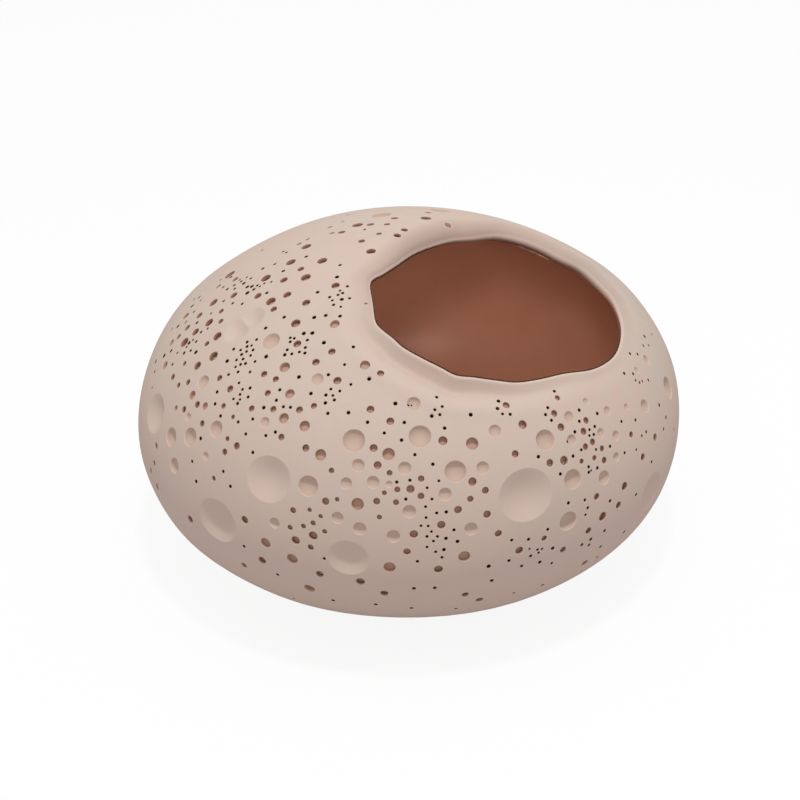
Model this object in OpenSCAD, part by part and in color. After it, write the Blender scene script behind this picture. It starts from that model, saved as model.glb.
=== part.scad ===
// Hand-built clay cachepot: a squashed egg covered with blind craters, with an
// off-centre mouth and a glazed inside. Millimetres, +Z up, origin at the
// centre of the flat foot, mouth leaning towards -Y.

/* [Body] */
// Half of the greatest width
body_r = 110; // [100:1:135]
// Height of the top above the widest line
upper_h = 78; // [70:1:92]
// Depth of the full oval below the widest line, before the foot is cut flat
lower_h = 64; // [59:1:76]
// Height of the widest line above the table
foot_h = 52.5; // [46:0.5:57]
// Radius of the shoulder's curve
shoulder_r = 61.5; // [50:0.5:66]
// Radius of the flank's curve below the widest line
flank_r = 45; // [34:0.5:52]
// Thickness of the clay wall
wall = 8; // [7:0.25:10]
// Thickness of the clay under the foot
floor_t = 8; // [6:0.25:11]

/* [Mouth] */
// Mean radius of the mouth at its lip
mouth_r = 43.5; // [34:0.5:50]
// Distance of the mouth's centre from the pot's upright axis
mouth_reach = 49; // [30:1:58]
// Lean of the mouth from level
mouth_tilt = 22; // [10:1:32]
// Width of the sunk collar round the mouth
collar_w = 8; // [6:0.25:10]
// How far the collar sinks from the dome to the lip
collar_sink = 3.6; // [2:0.1:4.5]
// Radius of the lip's rounded edge
lip_r = 1.2; // [0.6:0.1:1.8]

/* [Joints of clay and glaze] */
// Thickness of the slip between the two halves
seam_t = 0.6; // [0.4:0.1:1]
// Thickness of the slip round the collar
collar_slip_t = 0.5; // [0.3:0.1:0.8]
// Thickness of the glaze inside
glaze_t = 0.6; // [0.4:0.1:1]

/* [Craters] */
// Depth of a drilled hole
hole_depth = 4.5; // [3:0.25:5.5]
// Depth of a shallow hole
scoop_depth = 2; // [1:0.25:3]
// Depth of a thumb-wide hollow, as a share of its width
hollow_share = 0.1; // [0.05:0.01:0.14]
// Depth of a dimple, as a share of its width
dimple_share = 0.22; // [0.1:0.01:0.3]
// Least width of a crater on the seen side; narrower ones are left to the finish
front_least = 2.2; // [2:0.2:6]
// Least width of a crater on the hidden sides
back_least = 3.2; // [2.4:0.2:6]

/* [Hidden] */
$fn = 96;
crater_fn = 40;
clay_colour = "#cfbaac";
slip_colour = "#bda596";
glaze_colour = "#7a4630";
// Overrun of every cut
over = 1;

// The photograph's view, in its own pixels and in body radii
view_centre_px = [408.8, 407.3];
view_focal_px = 1330;
view_roll = 1.45;
view_elevation = 30;
view_azimuth = -42;
view_distance_share = 5;
// The oval that the photograph shows: heights and curves in body radii
seen_upper_share = 0.709;
seen_lower_share = 0.582;
seen_shoulder_share = 0.559;
seen_flank_share = 0.409;

// The mouth's lip, read from the photograph
lip_px = [
    [371, 282], [373, 304], [375, 320], [380, 328], [392, 338], [403, 348], [422, 359], [440, 368],
    [456, 376], [474, 378], [496, 381], [517, 383], [539, 380], [565, 374], [592, 370], [610, 361],
    [619, 349], [622, 331], [619, 313], [612, 297], [598, 282], [581, 268], [560, 258], [539, 247],
    [517, 239], [496, 236], [474, 239], [453, 241], [431, 247], [414, 254], [399, 264], [385, 273]
];

// Thumb-wide hollows: centre, width
hollows_px = [
    [526, 496, 55], [268, 479, 46], [217, 521, 46], [348, 559, 38], [247, 325, 36], [651, 492, 40], [155, 414, 38]
];
// Dimples pressed with a ball: centre, width
dimples_px = [
    [353.5, 440.3, 22], [420, 436.2, 21.5], [455.5, 471.5, 21], [545, 440, 20], [572.5, 479.3, 19.5],
    [568.5, 521.3, 19.5], [668, 388, 22], [645, 406, 13], [381.4, 215.3, 18.5], [440.5, 210.5, 19],
    [271, 341, 18], [203, 382, 14], [216, 429, 16], [188, 417, 8], [190, 437, 18], [171, 437, 18],
    [174.5, 465.5, 15], [205.5, 456, 8], [284.5, 367, 11.5], [317, 378.5, 12], [289.5, 393.5, 10.5],
    [283.5, 418, 11], [264.5, 422, 10], [304.3, 425.8, 11.5], [320.4, 454.8, 12], [308, 486, 20],
    [393.3, 536.7, 13], [359.5, 529, 13], [358, 465.3, 12.5], [404.7, 468.3, 12.8], [373, 482.3, 12.3],
    [389, 484.3, 6.8], [346, 483.5, 11.5], [409.3, 511.7, 13], [445.2, 494.3, 12.8], [482.8, 467.8, 12.5],
    [471, 528.8, 13], [413.5, 404, 13], [495, 431, 12.3], [569, 417, 11], [571.3, 440, 10.5], [601, 433, 9.5],
    [616, 435.5, 9.5], [616.3, 457, 9], [604, 477.7, 14], [637, 370, 6.5], [646.3, 360, 9.5],
    [607.7, 410.7, 8.8], [627, 407, 7], [334.5, 324, 10.5], [337.3, 518, 12], [274.5, 523, 11],
    [585.8, 401.7, 7]
];
// Shallow holes with a crisp rim: centre, width
scoops_px = [
    [388.5, 454, 12.8], [357.5, 504.3, 13], [472.3, 443.5, 12.9], [389.5, 567.7, 12.5], [464.3, 556.5, 12.5],
    [292, 559, 12], [265.5, 543, 11.5], [309.3, 588.7, 11.5], [365, 365.3, 10.8], [307.5, 239, 5],
    [299, 243.5, 6], [332, 233, 6], [342.5, 222, 5], [448.5, 221.8, 7], [218, 286.5, 6], [172, 343, 8],
    [186, 322.5, 5], [171.5, 329.5, 5], [165.5, 365.5, 9], [192, 395, 9.5], [205, 406, 8], [175.5, 408, 6]
];
// Drilled holes: centre, width
holes_px = [
    [330, 227, 5], [341.5, 232, 7.5], [306, 246, 10.5], [290.5, 261.5, 10.5], [322, 260.3, 10.5],
    [300.5, 268.5, 7.5], [265.5, 277.5, 11], [283.5, 279.5, 8.5], [305.5, 277, 10.8], [335.5, 285.5, 9],
    [229.5, 274.3, 12], [235, 279, 7], [357.5, 225, 11], [370.5, 224.5, 7.5], [387, 224.3, 6.5],
    [394.5, 218.5, 7.5], [426, 218.3, 11], [428, 213, 6.5], [404.5, 229.3, 7], [397.5, 234.5, 7.5],
    [379, 233.5, 6], [361.5, 240.7, 7.2], [371, 251, 10], [233.5, 295, 8.5], [257.5, 295.5, 8.5],
    [270.5, 301, 11], [287, 294.5, 9], [306, 302.5, 9], [273.5, 309, 7.5], [295.5, 323, 10.5],
    [297, 343.5, 8.8], [331.5, 351, 8], [315.5, 361.5, 8.3], [213.5, 302.5, 10], [221, 311, 6.5],
    [186, 316, 8], [199.5, 315.5, 8], [209, 322.5, 10], [220.5, 321, 6.5], [187.5, 328, 7.5],
    [195.5, 332, 9], [217, 336, 10.5], [179, 337, 6.5], [184.5, 342.5, 11], [206.5, 343.5, 6.5],
    [213, 356, 11], [184.3, 363.3, 5.5], [197, 365.5, 9.5], [172.5, 377, 7], [178, 385, 6],
    [187.5, 382, 6.5], [219.5, 378, 7], [230, 389, 8], [197, 404.5, 7.5], [223.5, 406, 6],
    [183.5, 409.3, 7], [202, 423.5, 7], [227.3, 438.8, 5.5], [264, 374, 7.5], [275.5, 379, 7.2],
    [267.5, 393, 7.2], [337, 380, 8.8], [251.5, 408.5, 7], [273, 409, 7.2], [299, 409.5, 7.8],
    [313.5, 405.5, 6.8], [233, 417, 5], [281, 437, 7.2], [156, 446, 6.5], [154, 463, 6], [150.5, 470.5, 6],
    [157, 486.5, 7], [224.5, 452, 7], [213.5, 478.5, 5.5], [190.5, 519, 8], [236.5, 446, 7.8],
    [305.5, 448, 8], [331.3, 470.6, 6.2], [325.5, 501.5, 8], [337, 499.5, 5], [293, 510.5, 6.8],
    [309.5, 510, 5], [320.5, 516.5, 5], [244.5, 520, 8.5], [295.5, 540.5, 9.4], [310.5, 547.6, 6.8],
    [262, 560.5, 8.8], [243.8, 565.6, 6.8], [319.5, 574.6, 8.2], [360.3, 582, 9.2], [384.3, 593.4, 8.2],
    [438.5, 569.4, 9.3], [465.3, 594.8, 7.4], [479.5, 600, 7.9], [407, 552, 7.7], [413.8, 534.5, 8.9],
    [498.3, 533.5, 7.8], [290, 527.6, 6], [303.3, 526.3, 5.6], [313, 523.3, 6], [324.5, 531.8, 5.5],
    [313, 536, 9.6], [441.3, 525, 8.7], [544.5, 538.5, 6.4], [519.5, 550.7, 8.8], [589, 531, 7.6],
    [563.6, 550.2, 7.2], [585, 563.2, 7.6], [373.5, 448, 8.5], [377.5, 465.2, 8.4], [389.5, 473, 6.3],
    [421.2, 478.8, 6.9], [410.5, 489.2, 8.6], [397.3, 489.7, 6.4], [384.3, 493, 5.3], [421, 496.2, 7.3],
    [376.6, 501.5, 7.4], [396, 502.5, 6.4], [379.3, 517.4, 5.6], [443, 440.7, 9.7], [515, 454, 7.8],
    [549.4, 463, 8.2], [563.6, 460.5, 9.5], [472.4, 481.7, 8.9], [485.3, 490.4, 7.5], [470.3, 498.9, 6.8],
    [458, 509.8, 8.3], [487, 514.2, 8.2], [585.3, 446.8, 7.1], [592.5, 442, 7.2], [602, 448.5, 6.4],
    [642.8, 457, 7.6], [594.3, 458, 5.9], [581.3, 461.3, 5.6], [604.3, 460.3, 7.1], [624.6, 486.3, 8.9],
    [596.8, 496.7, 7.5], [618.6, 505.2, 7.7], [603, 516.8, 10], [380.7, 373.5, 7.6], [370.3, 409, 8.3],
    [390.2, 421, 8.3], [506.5, 404.5, 7.4], [522.5, 424.8, 9.3], [557.5, 397.7, 5.9], [554, 413.7, 7.3],
    [586, 420.5, 7.1], [560.7, 427.3, 8.3], [583.4, 431.5, 7.7], [631.5, 434.5, 6.4], [655, 437.3, 7.7]
];

// Arcs of an oval half: centre distance below the widest line, and radius
function cap_drop(r, arc, h) = (pow(r - arc, 2) - pow(h - arc, 2)) / (2 * (h - arc));
function oval_half(r, arc, h) = [r - arc, arc, cap_drop(r, arc, h), h + cap_drop(r, arc, h)];
upper = oval_half(body_r, shoulder_r, upper_h);
lower = oval_half(body_r, flank_r, lower_h);
seen_upper = oval_half(1, seen_shoulder_share, seen_upper_share);
seen_lower = oval_half(1, seen_flank_share, seen_lower_share);

// Distance from point p, with its height above the widest line, to an oval of two halves
function half_gap(r, z, half) = atan2(z + half[2], r) > atan2(half[2], half[0])
    ? norm([r, z + half[2]]) - half[3]
    : norm([r - half[0], z]) - half[1];
function oval_gap(p, up, low) = p.z >= 0
    ? half_gap(norm([p.x, p.y]), p.z, up)
    : half_gap(norm([p.x, p.y]), -p.z, low);

// Walk from p along d until the oval, moved in by inset, is met
march_steps = 60;
function march(p, d, up, low, inset = 0, n = march_steps) =
    let (gap = oval_gap(p, up, low) + inset)
    n == 0 ? p : march(p + d * gap, d, up, low, inset, n - 1);

// Place of a photograph's pixel on the seen oval of radius 1, turned into the pot's frame
function spin(p, a) = [p.x * cos(a) - p.y * sin(a), p.x * sin(a) + p.y * cos(a), p.z];
view_back = [0, -cos(view_elevation), sin(view_elevation)];
view_up = [0, sin(view_elevation), cos(view_elevation)];
function px_ray(px) =
    let (
        x = (px[0] - view_centre_px[0]) / view_focal_px,
        y = (view_centre_px[1] - px[1]) / view_focal_px,
        u = x * cos(view_roll) + y * sin(view_roll),
        v = -x * sin(view_roll) + y * cos(view_roll),
        d = [u, 0, 0] + v * view_up - view_back
    ) d / norm(d);
view_eye = view_back * view_distance_share;
clear_share = 1.2;
function px_place(px) =
    let (start = view_eye + px_ray(px) * (view_distance_share - clear_share))
    march(start, px_ray(px), seen_upper, seen_lower);
// Real length of a stretch of so many pixels at that place
function px_size(u, length_px) = norm(u - view_eye) / view_focal_px * length_px * body_r;

// The same place on the real oval: point, and direction of its outward normal
function on_oval(u) =
    let (
        half = u.z >= 0 ? upper : lower,
        z = u.z >= 0 ? u.z / seen_upper_share * upper_h : -u.z / seen_lower_share * lower_h,
        crown = z + half[2] > half[3] * sin(atan2(half[2], half[0])),
        r = crown
            ? sqrt(max(0, pow(half[3], 2) - pow(z + half[2], 2)))
            : half[0] + sqrt(max(0, pow(half[1], 2) - z * z)),
        n = crown ? [r, z + half[2]] / half[3] : [r - half[0], z] / half[1],
        side = u.z >= 0 ? 1 : -1,
        azimuth = atan2(u.y, u.x) + view_azimuth
    ) [r * cos(azimuth), r * sin(azimuth), side * z + foot_h, azimuth, atan2(n[0], side * n[1])];

// The mouth's own plane, square to its axis
mouth_z = foot_h + sqrt(pow(upper[3], 2) - pow(mouth_reach, 2)) - upper[2];
mouth_c = [0, -mouth_reach, mouth_z];
mouth_axis = [0, -sin(mouth_tilt), cos(mouth_tilt)];
mouth_rise = [0, cos(mouth_tilt), sin(mouth_tilt)];

// The lip's outline in that plane, with its middle at 0 and a mean radius of mouth_r
function sum(list, n = 0) = n == len(list) - 1 ? list[n] : list[n] + sum(list, n + 1);
lip_seen = [for (px = lip_px) spin(px_place(px), view_azimuth)];
lip_flat = [for (p = lip_seen) [p.x, p * mouth_rise]];
lip_mid = sum(lip_flat) / len(lip_flat);
lip_mean = sum([for (p = lip_flat) norm(p - lip_mid)]) / len(lip_flat);
lip_corners = [for (p = lip_flat) (p - lip_mid) * mouth_r / lip_mean];
function smooth(a, b, c, d, t) = 0.5 * ((2 * b) + (c - a) * t + (2 * a - 5 * b + 4 * c - d) * t * t
    + (3 * b - a - 3 * c + d) * pow(t, 3));
function wrap(list, i) = list[(i + len(list)) % len(list)];
lip_steps = 2;
lip = [for (i = [0:len(lip_corners) - 1], k = [0:lip_steps - 1])
    smooth(wrap(lip_corners, i - 1), lip_corners[i], wrap(lip_corners, i + 1),
        wrap(lip_corners, i + 2), k / lip_steps)];
// Outward direction at each lip point, and the outline moved out by w
function lip_way(i) =
    let (t = wrap(lip, i + 1) - wrap(lip, i - 1))
    lip_turn * [t[1], -t[0]] / norm(t);
lip_turn = sum([for (i = [0:len(lip) - 1]) cross(lip[i], wrap(lip, i + 1))]) > 0 ? 1 : -1;
function lip_out(w) = [for (i = [0:len(lip) - 1]) lip[i] + w * lip_way(i)];

// Height over the mouth's plane of the oval moved in by inset, at point q of the plane
function plane_height(q, inset) =
    let (
        start = mouth_c + [q[0], 0, 0] + q[1] * mouth_rise + mouth_axis * mouth_r,
        hit = march(start - [0, 0, foot_h], -mouth_axis, upper, lower, inset)
    ) (hit + [0, 0, foot_h] - mouth_c) * mouth_axis;

// Section of an oval half, moved in by inset
module half_section(half, inset) {
    reach = body_r + upper_h + lower_h;
    turn = atan2(half[2], half[0]);
    intersection() {
        union() {
            translate([half[0], 0]) circle(r = half[1] - inset);
            intersection() {
                translate([0, -half[2]]) circle(r = half[3] - inset);
                translate([0, -half[2]])
                    polygon([[0, 0], reach * [cos(turn), sin(turn)], [reach, reach * 2], [0, reach * 2]]);
            }
        }
        square([reach, reach]);
    }
}

// Section of the whole oval, moved in by inset and cut flat at height base
module oval_section(inset, base) {
    intersection() {
        translate([0, foot_h]) {
            half_section(upper, inset);
            mirror([0, 1]) half_section(lower, inset);
        }
        translate([0, base]) square([body_r + over, foot_h + upper_h]);
    }
}

// Clay wall between two heights
module clay(z0, z1) {
    rotate_extrude() intersection() {
        difference() {
            oval_section(0, 0);
            oval_section(wall, floor_t);
        }
        translate([0, z0]) square([body_r + over, z1 - z0]);
    }
}

// Bar along the mouth's axis whose section is the lip's outline moved out by w
module mouth_bar(w) {
    translate(mouth_c - mouth_axis * mouth_r) rotate([mouth_tilt, 0, 0])
        linear_extrude(height = 2 * mouth_r) polygon(lip_out(w));
}

// Craters as read, each a row of its place on the seen oval, its width, its depth and whether a ball made it
function rows(list_px, depth, share, ball) = [
    for (px = list_px)
        let (u = px_place(px), width = px_size(u, px[2]))
        [u, width, depth + share * width, ball]
];
seen_rows = concat(
    rows(hollows_px, 0, hollow_share, true),
    rows(dimples_px, 0, dimple_share, true),
    rows(scoops_px, scoop_depth, 0, false),
    rows(holes_px, hole_depth, 0, false)
);

// The same craters go round the sides that the photograph hides. The rows turned by one angle fill
// only what the views before it don't see, and the place where a turned view has its mouth
row_turns = [0, 180, -90, 90];
hidden_share = 0.06;
function unseen(place, turn) =
    let (
        way = [sin(place[4]) * cos(place[3]), sin(place[4]) * sin(place[3]), cos(place[4])],
        mouth = spin([0, -mouth_reach, 0], turn)
    )
    way * spin(view_back, view_azimuth + turn) < -hidden_share
        || (turn != 0 && norm([place[0] - mouth.x, place[1] - mouth.y]) < mouth_r + collar_w);
function open(place, k) = len([for (j = [0:1:k - 1]) if (!unseen(place, row_turns[j])) j]) == 0;
all_rows = [
    for (k = [0:len(row_turns) - 1], row = seen_rows)
        let (place = on_oval(spin(row[0], row_turns[k])))
        if (row[1] >= (k == 0 ? front_least : back_least) && open(place, k)) [place, row[1], row[2], row[3]]
];

// The craters that reach between two heights
module craters(z0, z1) {
    for (row = all_rows) {
        place = row[0];
        width = row[1];
        depth = row[2];
        ball_r = (width * width / 4 + depth * depth) / (2 * depth);
        // One that meets the seam goes in level, so that it leaves no thin bridge of slip
        lean = abs(place[2] - foot_h) < width / 2 + seam_t ? 90 : place[4];
        if (place[2] + width / 2 > z0 && place[2] - width / 2 < z1)
            translate([place[0], place[1], place[2]]) rotate([0, lean, place[3]])
                if (row[3]) translate([0, 0, ball_r - depth]) sphere(r = ball_r, $fn = crater_fn);
                else translate([0, 0, -depth]) cylinder(d = width, h = depth + over, $fn = crater_fn);
    }
}

module lower_bowl() {
    color(clay_colour) difference() {
        clay(0, foot_h);
        craters(0, foot_h);
    }
}

module equator_slip() {
    color(slip_colour) difference() {
        clay(foot_h, foot_h + seam_t);
        craters(foot_h, foot_h + seam_t);
    }
}

module upper_dome() {
    top = foot_h + upper_h;
    color(clay_colour) difference() {
        clay(foot_h + seam_t, top + over);
        mouth_bar(collar_w);
        craters(foot_h + seam_t, top);
    }
}

module collar_slip() {
    color(slip_colour) intersection() {
        clay(foot_h + seam_t, foot_h + upper_h + over);
        difference() {
            mouth_bar(collar_w);
            mouth_bar(collar_w - collar_slip_t);
        }
    }
}

// The collar's top sinks from the dome to the lip, and its underside climbs to meet it there
collar_shares = [1, 0.82, 0.64, 0.46, 0.3, 0.15, 0.04];
under_shares = [0.1, 0.35, 0.65, 1];
lip_turns = [60, 0, -60];
function sink(s) = collar_sink * (0.5 + 0.5 * cos(180 * s));
function collar_ring(i) =
    let (
        w = collar_w - collar_slip_t,
        way = lip_way(i),
        lip_top = plane_height(lip[i], 0) - collar_sink,
        lip_low = lip_top - 2 * lip_r,
        under = lip_low - plane_height(lip[i], wall)
    ) concat(
        [for (s = collar_shares)
            let (q = lip[i] + way * w * s) [q[0], q[1], plane_height(q, 0) - sink(s)]],
        [for (a = lip_turns)
            let (q = lip[i] + way * lip_r * (0.5 - cos(a))) [q[0], q[1], lip_top - lip_r + lip_r * sin(a)]],
        [for (s = under_shares)
            let (q = lip[i] + way * w * s) [q[0], q[1], plane_height(q, wall) + under * pow(1 - s, 2)]]
    );

module mouth_collar() {
    rings = [for (i = [0:len(lip) - 1]) collar_ring(i)];
    n = len(rings);
    m = len(rings[0]);
    points = [for (ring = rings, p = ring) p];
    faces = [for (i = [0:n - 1], k = [0:m - 1])
        let (a = i * m + k, b = i * m + (k + 1) % m, c = ((i + 1) % n) * m + (k + 1) % m, d = ((i + 1) % n) * m + k)
        each [[a, b, c], [a, c, d]]];
    color(clay_colour) translate(mouth_c) rotate([mouth_tilt, 0, 0]) polyhedron(points, faces);
}

module glaze_lining() {
    color(glaze_colour) difference() {
        rotate_extrude() difference() {
            oval_section(wall, floor_t);
            oval_section(wall + glaze_t, floor_t + glaze_t);
        }
        mouth_bar(collar_w);
    }
}

lower_bowl();
upper_dome();
equator_slip();
mouth_collar();
collar_slip();
glaze_lining();
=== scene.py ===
import math
import bpy
import numpy as np
from mathutils import Matrix, Vector


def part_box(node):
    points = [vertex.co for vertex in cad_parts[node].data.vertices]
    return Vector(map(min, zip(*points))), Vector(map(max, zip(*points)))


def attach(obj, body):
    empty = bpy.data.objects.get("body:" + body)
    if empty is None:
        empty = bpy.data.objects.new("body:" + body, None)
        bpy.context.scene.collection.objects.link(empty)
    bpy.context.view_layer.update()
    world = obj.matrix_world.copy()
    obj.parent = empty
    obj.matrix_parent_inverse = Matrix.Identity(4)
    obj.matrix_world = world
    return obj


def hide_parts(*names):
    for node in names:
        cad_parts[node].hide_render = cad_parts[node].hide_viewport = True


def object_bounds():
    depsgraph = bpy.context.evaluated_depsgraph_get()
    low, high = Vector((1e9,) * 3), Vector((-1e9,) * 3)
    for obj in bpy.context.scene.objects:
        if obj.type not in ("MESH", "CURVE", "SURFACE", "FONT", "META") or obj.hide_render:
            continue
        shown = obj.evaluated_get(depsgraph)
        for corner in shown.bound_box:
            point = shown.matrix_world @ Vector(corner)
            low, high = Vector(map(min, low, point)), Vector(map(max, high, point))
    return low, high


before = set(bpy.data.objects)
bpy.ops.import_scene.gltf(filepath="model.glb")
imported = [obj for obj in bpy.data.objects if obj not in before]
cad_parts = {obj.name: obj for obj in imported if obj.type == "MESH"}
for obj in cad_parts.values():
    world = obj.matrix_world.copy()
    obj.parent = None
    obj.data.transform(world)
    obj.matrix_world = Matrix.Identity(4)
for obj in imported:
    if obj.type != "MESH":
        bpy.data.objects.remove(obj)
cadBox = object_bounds()
bpy.ops.object.select_all(action="DESELECT")
scene = bpy.context.scene
scene.view_settings.view_transform = "Standard"
mm = 0.001

# the pot's own sizes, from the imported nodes
bowlLow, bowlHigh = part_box("lower_bowl")
potRadius = (bowlHigh.x - bowlLow.x) / 2
seamHeight = bowlHigh.z
crownHeight = cadBox[1].z - seamHeight

potForm = {
    "shoulderArc": 61.5 * mm,   # curve of the shoulder above the widest line
    "flankArc": 45 * mm,        # curve of the flank below it
    "fullDepth": 64 * mm,       # the lower oval, before the foot is cut flat
    "wall": 8 * mm,
    "footEdge": 3 * mm,         # rounding where the flank meets the foot
    "innerEdge": 14 * mm,       # the same inside
    "columns": 274,
    "outerRings": 120,
    "outerReach": 262 * mm,     # way from the lip to the pole under the pot, over the outside
    "outerWidest": 2.75 * mm,   # ring spacing at most
    "lipRings": 9,
    "innerRings": 28,
    "innerReach": 235 * mm,     # the same inside
    "innerFinest": 0.7 * mm,
    "innerWidest": 11 * mm,
    "handWork": 0.22 * mm,      # unevenness left by the hand
    "handWaves": (9, 7 * mm, 3 * mm),   # number of waves, their least length, what chance adds to it
    "handSeed": 11,
}

photoView = {
    "azimuth": -42,
    "elevation": 30,
    "roll": 1.45,
    "centre": (408.8, 407.3),   # pixel that looks at the middle of the widest line
    "focal": 1330,              # in pixels
    "frame": 800,
    "away": 5 * potRadius,
}
print("frame loaded, pot radius", round(potRadius / mm, 1), "mm")


# where a pixel of the photo looks; places are counted from the middle of the widest line
def viewAxes(turn=0.0):
    a = math.radians(photoView["azimuth"] + turn)
    e, r = math.radians(photoView["elevation"]), math.radians(photoView["roll"])
    back = np.array([math.sin(a) * math.cos(e), -math.cos(a) * math.cos(e), math.sin(e)])
    flat = np.array([math.cos(a), math.sin(a), 0])
    rise = np.cross(back, flat)
    return back, flat * math.cos(r) - rise * math.sin(r), flat * math.sin(r) + rise * math.cos(r)


def pixelRay(px):
    back, right, up = viewAxes()
    x = (px[:, :1] - photoView["centre"][0]) / photoView["focal"]
    y = (photoView["centre"][1] - px[:, 1:2]) / photoView["focal"]
    way = x * right + y * up - back
    return back * photoView["away"], way / np.linalg.norm(way, axis=1, keepdims=True)


# the squashed egg as a distance field
def ovalHalf(arc, height):
    drop = ((potRadius - arc) ** 2 - (height - arc) ** 2) / (2 * (height - arc))
    return arc, drop, height + drop


upperHalf = ovalHalf(potForm["shoulderArc"], crownHeight)
lowerHalf = ovalHalf(potForm["flankArc"], potForm["fullDepth"])


def halfGap(r, z, half):
    arc, drop, capRadius = half
    cap = np.arctan2(z + drop, r) > math.atan2(drop, potRadius - arc)
    return np.where(cap, np.hypot(r, z + drop) - capRadius, np.hypot(r - (potRadius - arc), z) - arc)


def ovalGap(points):
    r = np.hypot(points[:, 0], points[:, 1])
    z = points[:, 2]
    return np.where(z >= 0, halfGap(r, np.abs(z), upperHalf), halfGap(r, np.abs(z), lowerHalf))


def potGap(points, inset=0.0, edge=potForm["footEdge"]):  # the oval with its flat foot, moved in by inset
    flank = ovalGap(points) + inset
    foot = -points[:, 2] - seamHeight + inset
    return np.maximum(flank, foot) + np.maximum(edge - np.abs(flank - foot), 0) ** 2 / (4 * edge)


def outWay(points, edge=potForm["footEdge"], step=0.05 * mm):
    ways = [potGap(points + step * e, 0, edge) - potGap(points - step * e, 0, edge) for e in np.eye(3)]
    ways = np.stack(ways, axis=1)
    return ways / np.linalg.norm(ways, axis=1, keepdims=True)


def placeOnOval(px, inset=0.0):
    eye, ways = pixelRay(np.asarray(px, float))
    reach = np.full(len(ways), photoView["away"] - 1.2 * potRadius)
    for _ in range(90):
        reach = reach + ovalGap(eye + ways * reach[:, None]) + inset
    return eye + ways * reach[:, None]


def softCurve(x, xs, ys):  # smooth curve through a few points, level at its ends
    xs, ys = np.asarray(xs, float), np.asarray(ys, float)
    slopes = np.gradient(ys, xs)
    slopes[0] = slopes[-1] = 0
    i = np.clip(np.searchsorted(xs, x, side="right") - 1, 0, len(xs) - 2)
    width = xs[i + 1] - xs[i]
    t = np.clip((x - xs[i]) / width, 0, 1)
    return ((1 + 2 * t) * (1 - t) ** 2 * ys[i] + t * (1 - t) ** 2 * width * slopes[i]
            + t * t * (3 - 2 * t) * ys[i + 1] + t * t * (t - 1) * width * slopes[i + 1])


def around(t, values):  # smooth closed curve through values at 0, 1, 2 ...
    values = np.asarray(values, float)
    i = np.floor(t).astype(int)
    f = (t - i)[:, None]
    a, b, c, d = (values[(i + k) % len(values)] for k in (-1, 0, 1, 2))
    return 0.5 * (2 * b + (c - a) * f + (2 * a - 5 * b + 4 * c - d) * f ** 2
                  + (3 * b - a - 3 * c + d) * f ** 3)


# the mouth: its lip as the photo shows it, and how the collar is worked along it
lipPixels = [
    (371, 282), (373, 304), (375, 320), (380, 328), (392, 338), (403, 348), (422, 359), (440, 368),
    (456, 376), (474, 378), (496, 381), (517, 383), (539, 380), (565, 374), (592, 370), (610, 361),
    (619, 349), (622, 331), (619, 313), (612, 297), (598, 282), (581, 268), (560, 258), (539, 247),
    (517, 239), (496, 236), (474, 239), (453, 241), (431, 247), (414, 254), (399, 264), (385, 273),
]
# at every fourth lip point: width of the collar, depth of its dish, drop of the lip, rounding of the
# lip, distance of its crest from the seen outline, angle where the glaze starts, how dark the painted
# shade on its edge is, and how far the glaze's stain and painted shade reach into the clay beside it
collarStations = [
    (8.5, 0.4, 3.4, 0.6, 0.4, 75, 1.0, 0.2),
    (9.0, 3.0, 0.9, 0.6, 0.4, 62, 1.0, 0.13),
    (9.0, 3.2, 0.5, 0.6, 0.4, 55, 1.0, 0.12),
    (7.0, 1.0, 0.4, 0.6, 0.4, 55, 1.0, 0.08),
    (5.5, 0.1, 0.6, 0.6, 0.4, 60, 1.0, 0.08),
    (8.0, 0.1, 1.8, 1.5, 1.6, 100, 0.3, 0.3),
    (10.5, 0.1, 3.8, 1.6, 1.8, 120, 0.0, 0.36),
    (9.5, 0.1, 6.4, 0.6, 0.4, 85, 0.9, 0.4),
]
collarForm = {
    "steps": 20,                # points between two lip points
    "lipTurn": 155,             # how far the lip's rounding goes over, in degrees
    "wallGrows": 16 * mm,       # distance from the lip at which the wall is full
    "ridge": 0.12,              # soft ridge beyond the dish, as a share of its depth
    "finest": 0.45 * mm,        # ring spacing at the lip
    "felt": 90 * mm,            # the collar shapes nothing further than this from the mouth's middle
    "blend": 1.2 * mm,          # how far neighbouring stations mix
    # sections across the collar: distances from the lip in collar widths, and shares of the full amount
    "dishCurve": ((0, 0.22, 0.5, 0.9, 1.3, 2.0), (0, 0.5, 1, 0.4, 0, 0)),
    "dropCurve": ((0, 0.13, 0.38, 0.8, 1.25), (1, 0.66, 0.3, 0.06, 0)),
    "ridgeCurve": ((0, 0.9, 1.35, 2.0, 3.0), (0, 0, 1, 0.3, 0)),
    "insideCurve": ((0, 0.5, 1.6), (0, 1, 0)),
    "stainAndShadeCurve": ((0, 0.45, 1.0), (1, 0.6, 0)),
    "lipShare": 1.95,           # thickness of the lip, in its roundings
    "runFrom": 50,              # angle on the lip's rounding at which thin glaze starts to colour the clay
    "runTo": 130,               # and at which it covers it
    "paleWidth": 0.4 * mm,      # the pale line on the edge, a painted highlight
    "paleFrom": 45,             # the same on the rounding, in degrees
}

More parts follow.
